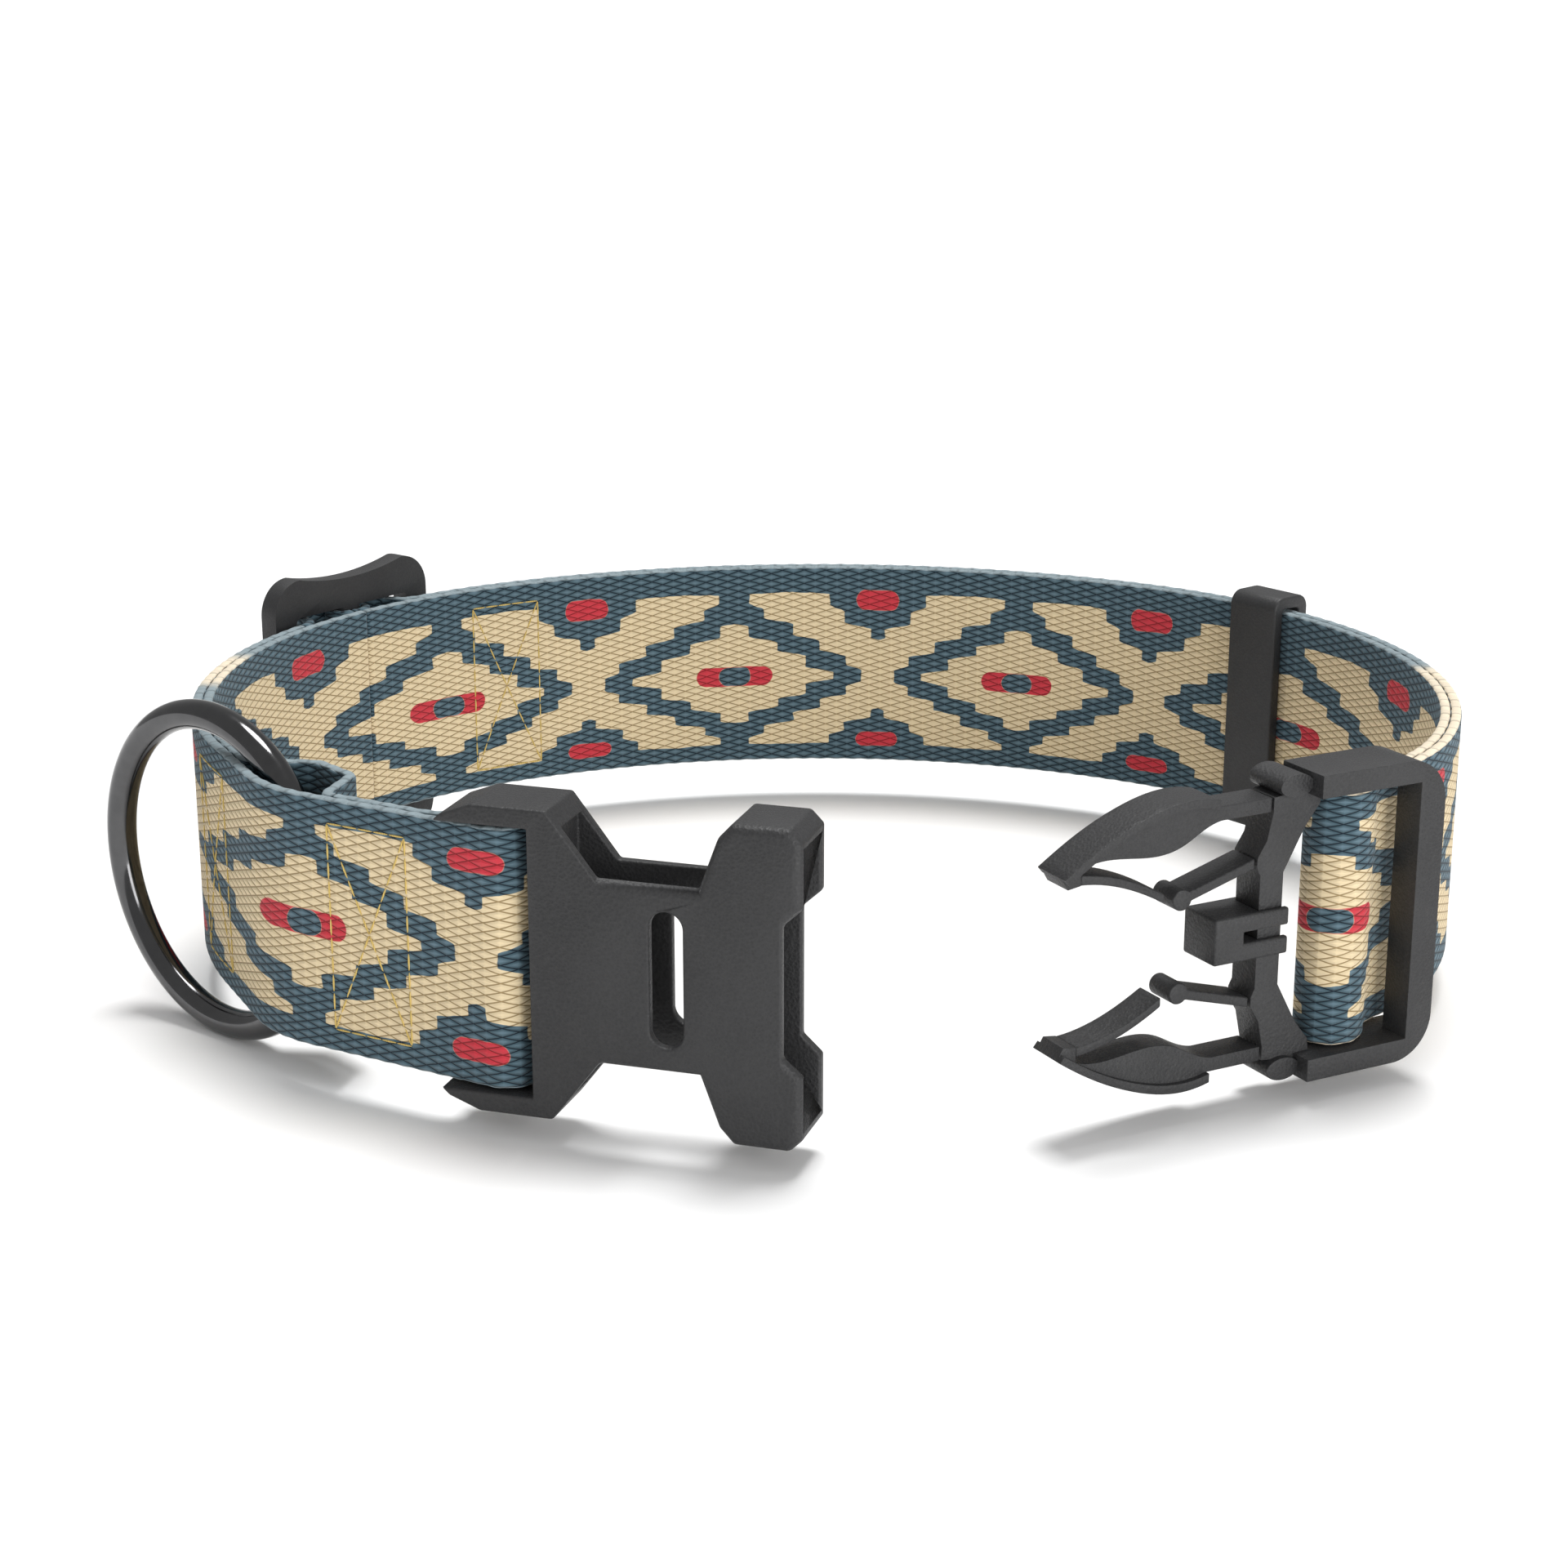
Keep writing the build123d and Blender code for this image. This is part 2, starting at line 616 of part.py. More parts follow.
with BuildPart() as male_guide:
    with BuildSketch(male_sketch(GUIDE_DEPTH)):
        with Locations(((GUIDE_START + GUIDE_REACH) / 2, 0)):
            Rectangle(GUIDE_REACH - GUIDE_START, 2 * GUIDE_HALF_HEIGHT)
        with Locations(((GUIDE_START + GUIDE_SLOT_END) / 2, 0)):
            Rectangle(GUIDE_SLOT_END - GUIDE_START, GUIDE_SLOT, mode=Mode.SUBTRACT)
    extrude(amount=GUIDE_DEPTH)
    with BuildSketch(male_sketch(YOKE_DEPTH)):
        with Locations((YOKE_INNER / 2, 0)):
            Rectangle(YOKE_INNER, 3 * GUIDE_HALF_HEIGHT)
    extrude(amount=YOKE_DEPTH, mode=Mode.SUBTRACT)
male_guide.part.label = "male_guide"

# Outlines of a sprung arm, as (reach from the bar, drop from the buckle's top edge).
PADDLE_CREST = [(PADDLE_START, 1.35), (19.2, 0.95), (24.0, 2.05), (28.8, 4.25), (PRONG_REACH, 6.45)]
PADDLE_BELLY = [
    (30.2, 5.95),
    (25.3, 5.65),
    (21.7, 5.95),
    (19.2, 5.45),
    (16.9, 4.25),
    (PADDLE_START - 0.6, 3.55),
]
TIP_ROOT = (30.2, 7.45)
TIP_CORNER = (PRONG_REACH - 0.7, 7.65)
STRIP_END = BEAD_REACH + BEAD_RADIUS + BEAD_GAP
STRIP_LOWER = [TIP_ROOT, (26.4, 8.15), (24.0, 9.05), (STRIP_END, 10.65)]
STRIP_UPPER = [(STRIP_END, 9.75), (24.0, 8.15), (26.4, 7.25), (TIP_ROOT[0], 6.45)]


def mirrored(points, side):
    """Outline points of the upper or the lower arm, from reaches and drops."""
    return [(reach, side * (HALF_BUCKLE - drop)) for reach, drop in points]


def prong(label, side):
    """The springy outer arm with its paddle, raised rim and tip."""
    arm_low, arm_high = ARM_DROP + ARM_THICKNESS / 2, ARM_DROP - ARM_THICKNESS / 2
    arm_start = PRONG_ROOT + HINGE_GAP
    rim_end = (PADDLE_CREST[-1][0] - 0.5, PADDLE_CREST[-1][1] + 0.6)
    rim_inner = [(reach, drop + RIM_WIDTH) for reach, drop in PADDLE_CREST[:-1]] + [rim_end]
    with BuildPart() as made:
        with BuildSketch(male_sketch(PRONG_DEPTH)):
            with BuildLine():
                Polyline(
                    *mirrored(
                        [
                            PADDLE_BELLY[-1],
                            (arm_start, arm_low),
                            (arm_start, arm_high),
                            (PADDLE_START, arm_high),
                            PADDLE_CREST[0],
                        ],
                        side,
                    )
                )
                Spline(*mirrored(PADDLE_CREST, side))
                Polyline(*mirrored([PADDLE_CREST[-1], TIP_CORNER, TIP_ROOT, PADDLE_BELLY[0]], side))
                Spline(*mirrored(PADDLE_BELLY, side))
            make_face()
        extrude(amount=PRONG_DEPTH)
        with BuildSketch(male_sketch(RIM_DEPTH)):
            with BuildLine():
                Spline(*mirrored(PADDLE_CREST, side))
                Spline(*mirrored(rim_inner, side))
                Line(*mirrored([PADDLE_CREST[0], rim_inner[0]], side))
                Line(*mirrored([PADDLE_CREST[-1], rim_inner[-1]], side))
            make_face()
        extrude(amount=RIM_DEPTH)
    made.part.label = label
    return made


def tip_strip(label, side):
    """The thin S-shaped strip that runs back from the tip towards the bead."""
    with BuildPart() as made:
        with BuildSketch(male_sketch(PRONG_DEPTH)):
            with BuildLine():
                Spline(*mirrored(STRIP_LOWER, side))
                Line(*mirrored([STRIP_LOWER[-1], STRIP_UPPER[0]], side))
                Spline(*mirrored(STRIP_UPPER, side))
                Line(*mirrored([STRIP_UPPER[-1], STRIP_LOWER[0]], side))
            make_face()
        extrude(amount=PRONG_DEPTH)
    made.part.label = label
    return made


def inner_strut(label, side):
    """The inner arm, from the yoke to the bead that carries the strip."""
    start = STRUT_ROOT + HINGE_GAP
    half = STRUT_THICKNESS / 2
    outline = [
        (start, STRUT_ROOT_DROP + half),
        (start, STRUT_ROOT_DROP - half),
        (BEAD_REACH, BEAD_DROP - half),
        (BEAD_REACH, BEAD_DROP + half),
    ]
    with BuildPart() as made:
        with BuildSketch(male_sketch(PRONG_DEPTH)):
            with BuildLine():
                Polyline(*mirrored(outline, side), close=True)
            make_face()
            with Locations((BEAD_REACH, side * bead_height)):
                Circle(BEAD_RADIUS)
        extrude(amount=PRONG_DEPTH)
    made.part.label = label
    return made


male_pieces = []
for name, side in (("upper", 1), ("lower", -1)):
    male_pieces += [
        prong(f"{name}_prong", side),
        tip_strip(f"{name}_tip_strip", side),
        inner_strut(f"{name}_strut", side),
    ]


# ================================================================ files
os.makedirs("parts", exist_ok=True)
EVERY_PART = [
    female_loop,
    male_loop,
    webbing_outer_left,
    webbing_slide_bridge,
    webbing_outer_right,
    webbing_inner_front,
    webbing_inner_left,
    webbing_inner_right,
    webbing_ring_tunnel,
    webbing_slide_fold,
    stitch_box_a,
    stitch_box_b,
    stitch_box_c,
    leash_ring,
    slide_frame,
    keeper,
    female_housing,
    female_bar,
    male_bar,
    male_frame,
    male_guide,
    *male_pieces,
]
for made in EVERY_PART:
    export_step(made.part, f"parts/{made.part.label}.step")
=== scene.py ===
"""The looks of an unclasped webbing dog collar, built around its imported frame."""
import bisect
import json
import math

import bpy
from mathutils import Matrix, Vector

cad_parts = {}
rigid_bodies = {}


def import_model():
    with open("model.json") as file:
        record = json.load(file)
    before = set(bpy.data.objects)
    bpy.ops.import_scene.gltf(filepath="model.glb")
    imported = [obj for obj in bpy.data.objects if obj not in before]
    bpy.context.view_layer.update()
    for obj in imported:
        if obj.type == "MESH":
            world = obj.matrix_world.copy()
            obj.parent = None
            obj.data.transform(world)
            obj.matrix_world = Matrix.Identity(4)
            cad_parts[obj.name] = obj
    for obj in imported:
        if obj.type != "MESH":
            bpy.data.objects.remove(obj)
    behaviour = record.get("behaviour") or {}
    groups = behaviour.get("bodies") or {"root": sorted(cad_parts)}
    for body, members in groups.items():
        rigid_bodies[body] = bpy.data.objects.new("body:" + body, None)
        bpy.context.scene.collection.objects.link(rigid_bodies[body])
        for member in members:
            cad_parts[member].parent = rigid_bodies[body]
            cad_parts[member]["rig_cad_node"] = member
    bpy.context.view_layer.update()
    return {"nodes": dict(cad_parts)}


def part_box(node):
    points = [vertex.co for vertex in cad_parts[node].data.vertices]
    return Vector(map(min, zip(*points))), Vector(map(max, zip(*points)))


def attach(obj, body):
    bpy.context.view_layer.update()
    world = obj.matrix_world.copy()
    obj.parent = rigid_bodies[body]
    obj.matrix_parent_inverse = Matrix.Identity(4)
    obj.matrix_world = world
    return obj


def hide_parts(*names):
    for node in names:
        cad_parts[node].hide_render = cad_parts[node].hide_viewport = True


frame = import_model()

MM = 0.001

# ---------------------------------------------------------------- sizes, in millimetres
WEBBING_WIDTH = 25.4
WEBBING_THICKNESS = 1.1
HALF_LAYER = WEBBING_THICKNESS / 2
WEBBING_COLUMN = 0.45
WEBBING_ROWS = 10
SELVAGE_BEVEL = 0.33
SCALLOP_PITCH = 2.1
PLAIN_SHARE = 0.985
SCALLOP_DEPTH = 0.07

BACK_RADIUS = 76.7
BACK_HALF_TURN = 31.0
FLANK_RADIUS = 54.7
BACK_DEPTH = 57.1

# The seam between the two layers, seen from above: straights and arcs from the left buckle bar
# to the middle of the back, and on to the right buckle bar.
LEFT_SIDE = [
    (20.8, 0),
    ("arc", 15.6, -34.0),
    (11.0, 0),
    ("arc", FLANK_RADIUS, -85.4),
    ("arc", BACK_RADIUS, -BACK_HALF_TURN),
]
RIGHT_SIDE = [
    ("arc", BACK_RADIUS, -BACK_HALF_TURN),
    ("arc", FLANK_RADIUS, -82.4),
    ("arc", 33.9, -21.3),
    (9.0, 0),
]

BAR_RADIUS = 1.9
LOOP_CLEARANCE = 0.2
LOOP_RADIUS = BAR_RADIUS + LOOP_CLEARANCE + HALF_LAYER
LOOP_EASE_RADIUS = 5.0

RING_OUTER_DIAMETER = 35.0
RING_WIRE = 3.0
RING_STATION = 30.4

TUNNEL_FILLET = 1.2
TUNNEL_LEAD = 4.6
TUNNEL_FRONT_SLOPE = 1.6
TUNNEL_SPARE_LENGTH = 2.2
TUNNEL_BACK_SLOPE = 4.0
TUNNEL_SPARE_DEPTH = 3.2

SLIDE_STATION = 102.2
FOLD_STRAIGHT = 1.4
FOLD_LAST_TURN = 178.0
FOLD_INSIDE_HEIGHT = 2.2
STACK_GAP = 0.05
BUMP_RADIUS = 3.0
BUMP_HALF_LENGTH = 9.3
BUMP_COVER = 2.0

STITCH_BOX_WIDTH = 9.0
STITCH_BOX_HEIGHT = 20.6
STITCH_PITCH = 1.9
STITCH_LENGTH = 1.75
STITCH_THICKNESS = 0.19
STITCH_LIFT = 0.2
STITCH_BOX_A_GAP = 0.2
STITCH_BOX_B_GAP = 1.4
BOX_C_STATION = 118.2

MID_HEIGHT = RING_OUTER_DIAMETER / 2
HALF_WIDTH = WEBBING_WIDTH / 2


# ---------------------------------------------------------------- selecting and finishing
def deselect():
    if bpy.context.object and bpy.context.object.mode != "OBJECT":
        bpy.ops.object.mode_set(mode="OBJECT")
    bpy.ops.object.select_all(action="DESELECT")


def pick(piece):
    deselect()
    piece.select_set(True)
    bpy.context.view_layer.objects.active = piece


def apply_all(piece):
    pick(piece)
    for modifier in list(piece.modifiers):
        bpy.ops.object.modifier_apply(modifier=modifier.name)


def settle(piece):
    """Leaves the piece's place in its mesh, with its object at the origin."""
    pick(piece)
    bpy.ops.object.transform_apply(location=True, rotation=True, scale=True)


def smooth(piece, degrees):
    pick(piece)
    bpy.ops.object.shade_smooth_by_angle(angle=math.radians(degrees))


def bevel(piece, width, segments, degrees):
    modifier = piece.modifiers.new("edges", "BEVEL")
    modifier.width = width * MM
    modifier.segments = segments
    modifier.limit_method = "ANGLE"
    modifier.angle_limit = math.radians(degrees)
    modifier.use_clamp_overlap = True
    return modifier


def dress(piece, body, slot, material, *replaced):
    """Gives a finished piece its material and its place on a body."""
    piece.data.materials.clear()
    piece.data.materials.append(material)
    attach(piece, body)
    if replaced:
        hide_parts(*replaced)


# ---------------------------------------------------------------- routes in plan
def bend(radius, degrees):
    """One arc as a move: its length and its turn."""
    return (radius * math.radians(abs(degrees)), degrees)


def step(pose, move):
    """The pose (x, y, heading) at the end of one straight or arc."""
    x, y, heading = pose
    length, turn = move
    middle, half = math.radians(heading + turn / 2), math.radians(turn) / 2
    chord = length if turn == 0 else length * math.sin(half) / half
    return (x + chord * math.cos(middle), y + chord * math.sin(middle), heading + turn)


def beside(pose, offset):
    """The pose moved sideways, to the left of its heading."""
    across = math.radians(pose[2] + 90)
    return (pose[0] + offset * math.cos(across), pose[1] + offset * math.sin(across), pose[2])


def turn_round(pose):
    return (pose[0], pose[1], pose[2] + 180)


def moves_of(side):
    return [bend(item[1], item[2]) if item[0] == "arc" else item for item in side]


SEAM = moves_of(LEFT_SIDE) + moves_of(RIGHT_SIDE)
SEAM_LENGTH = sum(length for length, turn in SEAM)


def seam_start():
    pose = (0.0, BACK_DEPTH, 180.0)
    for length, turn in reversed(moves_of(LEFT_SIDE)):
        pose = step(pose, (length, -turn))
    return turn_round(pose)


def seam_piece(first, last, offset=0.0):
    """The pose at one station and the moves on to another, beside the seam."""
    pose, moves, station, start = seam_start(), [], 0.0, None
    for length, turn in SEAM:
        low, high = max(first, station), min(last, station + length)
        if high > low:
            if start is None:
                start = step(pose, (low - station, turn * (low - station) / length))
            share = (high - low) / length
            moves.append((high - low - offset * math.radians(turn * share), turn * share))
        pose = step(pose, (length, turn))
        station += length
    return beside(start, offset), moves


def at(station, offset=0.0):
    """The pose at one station of the seam, or on the straight before its start."""
    if station <= 0:
        return beside(step(seam_start(), (station, 0)), offset)
    pose, moves = seam_piece(0.0, station)
    for move in moves:
        pose = step(pose, move)
    return beside(pose, offset)


def backwards(moves):
    return [(length, -turn) for length, turn in reversed(moves)]


def corners_to_moves(points, radius):
    """Straights joined by arcs of one radius through a list of corner points."""
    pairs = list(zip(points, points[1:]))
    headings = [math.degrees(math.atan2(b[1] - a[1], b[0] - a[0])) for a, b in pairs]
    turns = [(b - a + 180) % 360 - 180 for a, b in zip(headings, headings[1:])]
    cuts = [radius * math.tan(math.radians(abs(turn)) / 2) for turn in turns]
    cuts = [0.0] + cuts + [0.0]
    moves = []
    for index, (a, b) in enumerate(pairs):
        moves.append((math.dist(a[:2], b[:2]) - cuts[index] - cuts[index + 1], 0))
        if index < len(turns):
            moves.append(bend(radius, turns[index]))
    return moves


def between(marks, place):
    """The value at one place of a list of (place, value) marks, running on past both ends."""
    if place <= marks[0][0]:
        return marks[0][1] + place - marks[0][0]
    for (a, start), (b, end) in zip(marks, marks[1:]):
        if place <= b:
            return start + (end - start) * (place - a) / (b - a)
    return marks[-1][1] + place - marks[-1][0]


class Route:
    """A plan route whose pose can be asked for at any length along it."""

    def __init__(self, pose, moves):
        self.moves = moves
        self.poses = [pose]
        self.stations = [0.0]
        for move in moves:
            self.poses.append(step(self.poses[-1], move))
            self.stations.append(self.stations[-1] + move[0])
        self.length = self.stations[-1]

    def at(self, station):
        index = bisect.bisect_right(self.stations, station) - 1
        index = min(max(index, 0), len(self.moves) - 1)
        length, turn = self.moves[index]
        gone = station - self.stations[index]
        return step(self.poses[index], (gone, turn * gone / length if length else 0))


# ---------------------------------------------------------------- shader maths
class Wire:
    """One shader socket, on which Python arithmetic adds Math nodes."""

    def __init__(self, tree, socket):
        self.tree = tree
        self.socket = socket

    def math(self, operation, *others):
        return self.tree.node("Math", {"operation": operation}, [self, *others])[0]

    def __add__(self, other):
        return self.math("ADD", other)

    def __sub__(self, other):
        return self.math("SUBTRACT", other)

    def __mul__(self, other):
        return self.math("MULTIPLY", other)

    def __rsub__(self, other):
        return (self * -1.0) + other

    __radd__ = __add__
    __rmul__ = __mul__

    def wave(self, half):
        """Distance from the nearest whole multiple of twice a half."""
        return self.math("PINGPONG", half)

    def ramp(self, low, high, start=0.0, end=1.0):
        """A smooth rise from one value to another, as this value goes from low to high."""
        settings = {"interpolation_type": "SMOOTHSTEP"}
        return self.tree.node("MapRange", settings, [self, low, high, start, end])[0]

    def minimum(self, other):
        return self.math("MINIMUM", other)

    def maximum(self, other):
        return self.math("MAXIMUM", other)

    def absolute(self):
        return self.math("ABSOLUTE")


class Shader:
    """A material's node tree, with one method that makes any node."""

    def __init__(self, name):
        self.material = bpy.data.materials.new(name)
        self.material.use_nodes = True
        self.tree = self.material.node_tree
        self.surface = self.tree.nodes["Principled BSDF"]

    def node(self, kind, settings=None, values=()):
        made = self.tree.nodes.new("ShaderNode" + kind)
        for key, value in (settings or {}).items():
            setattr(made, key, value)
        pairs = values.items() if isinstance(values, dict) else enumerate(values)
        for key, value in pairs:
            if isinstance(value, Wire):
                self.tree.links.new(value.socket, made.inputs[key])
            else:
                made.inputs[key].default_value = value
        return [Wire(self, socket) for socket in made.outputs]

    def blend(self, factor, first, second):
        """A colour mix of two colours or colour wires."""
        settings = {"data_type": "RGBA"}
        return self.node("Mix", settings, {0: factor, 6: first, 7: second})[2]

    def multiply(self, colour, factor):
        """A colour made darker or lighter by a number or a wire."""
        scaled = self.node("CombineColor", None, [factor, factor, factor])[0]
        settings = {"data_type": "RGBA", "blend_type": "MULTIPLY"}
        return self.node("Mix", settings, {0: 1.0, 6: colour, 7: scaled})[2]

    def place(self):
        """The object's own coordinates, in metres."""
        return self.node("TexCoord")[3]

    def noise(self, place, scale, detail=3.0, roughness=0.5):
        values = {"Vector": place, "Scale": scale, "Detail": detail, "Roughness": roughness}
        return self.node("TexNoise", None, values)[0]

    def bump(self, height, distance, strength):
        values = {"Strength": strength, "Distance": distance, "Height": height}
        return self.node("Bump", None, values)[0]

    def finish(self, **values):
        """Sets or links the surface's own sockets."""
        for name, value in values.items():
            socket = self.surface.inputs[name.replace("_", " ")]
            if isinstance(value, Wire):
                self.tree.links.new(value.socket, socket)
            else:
                socket.default_value = value
        return self.material


# ---------------------------------------------------------------- webbing material
REPEAT = 37.9
CREAM = (0.76, 0.62, 0.395, 1)
# Painted shade in the grooves of the cream weave.
CREAM_GROOVE_SHADE = (0.33, 0.235, 0.110, 1)
NAVY = (0.050, 0.094, 0.118, 1)
# Painted shade in the grooves of the navy weave.
NAVY_GROOVE_SHADE = (0.006, 0.017, 0.028, 1)
# Painted highlight on the crowns of the navy weave.
NAVY_PAINTED_HIGHLIGHT = (0.110, 0.175, 0.215, 1)
RED = (0.58, 0.040, 0.058, 1)
# Painted shade in the grooves of the red weave.
RED_GROOVE_SHADE = (0.26, 0.010, 0.016, 1)
EDGE_BLUE = (0.24, 0.30, 0.325, 1)
EDGE_CREAM = (0.78, 0.68, 0.52, 1)
LENS_LENGTH = 2.8
LENS_HEIGHT = 0.88
PRINT_SOFTNESS = 0.42
PRINT_EDGE = 0.06
RIM_START = HALF_WIDTH - 0.14
RIM_EDGE = 0.05

# Half-lengths of the printed shapes along the strap, each up to a distance from its middle.
DIAMOND_OUTSIDE = [
    (1.1, 16.8),
    (2.95, 14.85),
    (4.9, 11.35),
    (6.85, 7.75),
    (8.65, 3.85),
    (10.3, 1.95),
]
DIAMOND_INSIDE = [(0.8, 13.1), (2.9, 9.4), (4.7, 5.7), (6.75, 1.85)]
PYRAMID = [(4.5, -2.0), (6.3, 0.95), (8.3, 4.4), (10.3, 6.4)]
EVERYWHERE = 40.0
NOWHERE = -4.0

# Half-length and radius of the printed shapes with round ends.
CAPSULE = (4.9, 1.3)
EYE = (2.05, 1.25)
BERRY = (2.8, 1.1)
BERRY_HEIGHT = 9.25

# Where the strap's edges turn from blue to cream, across the collar and in depth, in metres.
RIGHT_END = (0.040, 0.044)
RIGHT_END_DEPTH = (0.003, 0.007)
LEFT_END = (-0.058, -0.054)
LEFT_END_FRONT = (-0.004, 0.0)
LEFT_END_BACK = (0.008, 0.012)


def stairs(across, steps, beyond):
    """A stepped half-length that changes softly at each distance from the middle."""
    total = steps[0][1]
    widths = [width for edge, width in steps] + [beyond]
    for (edge, width), following in zip(steps, widths[1:]):
        low, high = edge - PRINT_SOFTNESS, edge + PRINT_SOFTNESS
        total = across.ramp(low, high, 0.0, following - width) + total
    return total


def within(along, half):
    """1 where a distance is less than a half-length, 0 outside, with a narrow soft edge."""
    return (half - along).ramp(-PRINT_EDGE, PRINT_EDGE)


def webbing_material():
    """Printed diamonds over a crossed weave, with a plain selvedge."""
    shader = Shader("printed_webbing")
    uv = shader.node("UVMap", {"uv_map": "strap"})[0]
    along, height = shader.node("SeparateXYZ", None, [uv])[:2]
    laid = shader.node("UVMap", {"uv_map": "print"})[0]
    length, level = shader.node("SeparateXYZ", None, [laid])[:2]
    wobble = shader.noise(uv, 0.45, 2.0) - 0.5
    across = (level + wobble * 0.35).absolute()
    along_soft = length + wobble * 0.6

    from_diamond = along_soft.wave(REPEAT / 2)
    from_pyramid = REPEAT / 2 - from_diamond
    outside = within(from_diamond, stairs(across, DIAMOND_OUTSIDE, EVERYWHERE))
    inside = within(from_diamond, stairs(across, DIAMOND_INSIDE, NOWHERE))
    pyramid = within(from_pyramid, stairs(across, PYRAMID, EVERYWHERE))
    navy = (outside - inside).maximum(pyramid)

    def lozenge(first, second, half_length, radius):
        reach = (first - (half_length - radius)).maximum(0.0)
        distance = (reach * reach + second * second).math("SQRT")
        return within(distance, radius)

    capsule = lozenge(from_diamond, across, *CAPSULE)
    eye = lozenge(from_diamond, across, *EYE)
    berry = lozenge(from_pyramid, (across - BERRY_HEIGHT).absolute(), *BERRY)
    red = (capsule - eye).maximum(berry)
    navy = navy.maximum(eye) * (1 - red)

    columns = along * (1 / LENS_LENGTH)
    rows = height * (1 / LENS_HEIGHT)
    first_line = (columns + rows).wave(0.5)
    second_line = (columns - rows).wave(0.5)
    nearest = first_line.minimum(second_line)
    # The lens is 1 on each woven lozenge and 0 on the groove lines between them. It shapes the
    # bump, and on the grooves it darkens the colours as painted shade.
    lens = nearest.ramp(0.035, 0.105)
    # The crown rises towards each lozenge's middle: it shapes the bump, and on the navy it also
    # paints a highlight.
    crown_relief_and_highlight = nearest.ramp(0.06, 0.42)
    drawn_out = shader.node("Mapping", None, {"Vector": uv, "Scale": (0.9, 9.0, 1.0)})[0]
    strand = shader.noise(drawn_out, 1.0, 3.0, 0.6)

    # Each colour darkens on the groove lines: painted shade in the weave's grooves.
    cream = shader.blend(lens, CREAM_GROOVE_SHADE, CREAM)
    # The navy turns lighter towards each crown: a painted highlight.
    blue = shader.blend(crown_relief_and_highlight, shader.blend(lens, NAVY_GROOVE_SHADE, NAVY), NAVY_PAINTED_HIGHLIGHT)
    crimson = shader.blend(lens, RED_GROOVE_SHADE, RED)
    face = shader.blend(red, shader.blend(navy, cream, blue), crimson)
    edge_line = along.wave(LENS_LENGTH / 2).ramp(0.05, 0.35)
    side, depth = shader.node("SeparateXYZ", None, [shader.place()])[:2]
    right_end = side.ramp(*RIGHT_END) * depth.ramp(*RIGHT_END_DEPTH, 1.0, 0.0)
    left_depth = depth.ramp(*LEFT_END_FRONT) * depth.ramp(*LEFT_END_BACK, 1.0, 0.0)
    left_end = side.ramp(*LEFT_END, 1.0, 0.0) * left_depth
    edge = shader.blend(right_end + left_end, EDGE_BLUE, EDGE_CREAM)
    edge = shader.multiply(edge, edge_line * 0.35 + 0.65)
    rim = height.absolute().ramp(RIM_START - RIM_EDGE, RIM_START + RIM_EDGE)
    colour = shader.blend(rim, face, edge)
    colour = shader.multiply(colour, strand * 0.34 + 0.83)

    relief = crown_relief_and_highlight * 0.8 + lens * 0.5 + strand * 0.25
    normal = shader.bump(relief, 0.00022, 0.75)
    return shader.finish(
        Base_Color=colour,
        Roughness=0.82,
        Normal=normal,
        Sheen_Weight=0.12,
        Specular_IOR_Level=0.25,
    )


# ---------------------------------------------------------------- other materials
def plastic_material(name, grain, depth, base, light):
    """Dark moulded plastic with a fine leather grain."""
    shader = Shader(name)
    place = shader.place()
    cells = shader.node("TexVoronoi", {"feature": "F1"}, {"Vector": place, "Scale": grain})[0]
    fine = shader.noise(place, grain * 2.2, 4.0, 0.6)
    cloud = shader.noise(place, 140.0, 3.0)
    relief = cells * 0.8 + fine * 0.7
    colour = shader.blend((cells * 0.35 + cloud * 0.65).ramp(0.25, 0.75), base, light)
    roughness = fine.ramp(0.3, 0.7, 0.42, 0.60)
    return shader.finish(
        Base_Color=colour,
        Roughness=roughness,
        Normal=shader.bump(relief, depth, 0.55),
        Specular_IOR_Level=0.4,
    )


def metal_material():
    """Black nickel over steel wire, with faint drawn marks."""
    shader = Shader("black_nickel")
    place = shader.place()
    marks = shader.noise(place, 900.0, 2.0)
    colour = shader.blend(marks, (0.085, 0.085, 0.087, 1), (0.110, 0.110, 0.112, 1))
    roughness = shader.noise(place, 320.0, 3.0).ramp(0.3, 0.7, 0.10, 0.19)
    return shader.finish(Base_Color=colour, Metallic=1.0, Roughness=roughness)


def thread_material():
    """Twisted yellow sewing thread."""
    shader = Shader("yellow_thread")
    place = shader.place()
    twist = shader.node("TexWave", None, {"Vector": place, "Scale": 1900.0, "Distortion": 1.5})[1]
    colour = shader.blend(twist, (0.46, 0.32, 0.07, 1), (0.72, 0.53, 0.17, 1))
    normal = shader.bump(twist, 0.00005, 0.5)
    return shader.finish(Base_Color=colour, Roughness=0.6, Normal=normal)


def floor_material():
    """A white sweep."""
    shader = Shader("pale_floor")
    tone = shader.noise(shader.place(), 3.0, 2.0)
    colour = shader.blend(tone, (0.93, 0.93, 0.93, 1), (0.95, 0.95, 0.95, 1))
    return shader.finish(Base_Color=colour, Roughness=0.9, Specular_IOR_Level=0.1)


WEBBING = webbing_material()
BUCKLE_PLASTIC = plastic_material(
    "buckle_plastic",
    grain=3000.0,
    depth=0.00011,
    base=(0.021, 0.021, 0.022, 1),
    light=(0.030, 0.030, 0.031, 1),
)
HARDWARE_PLASTIC = plastic_material(
    "hardware_plastic",
    grain=3400.0,
    depth=0.00004,
    base=(0.022, 0.022, 0.023, 1),
    light=(0.029, 0.029, 0.030, 1),
)
NICKEL = metal_material()
THREAD = thread_material()


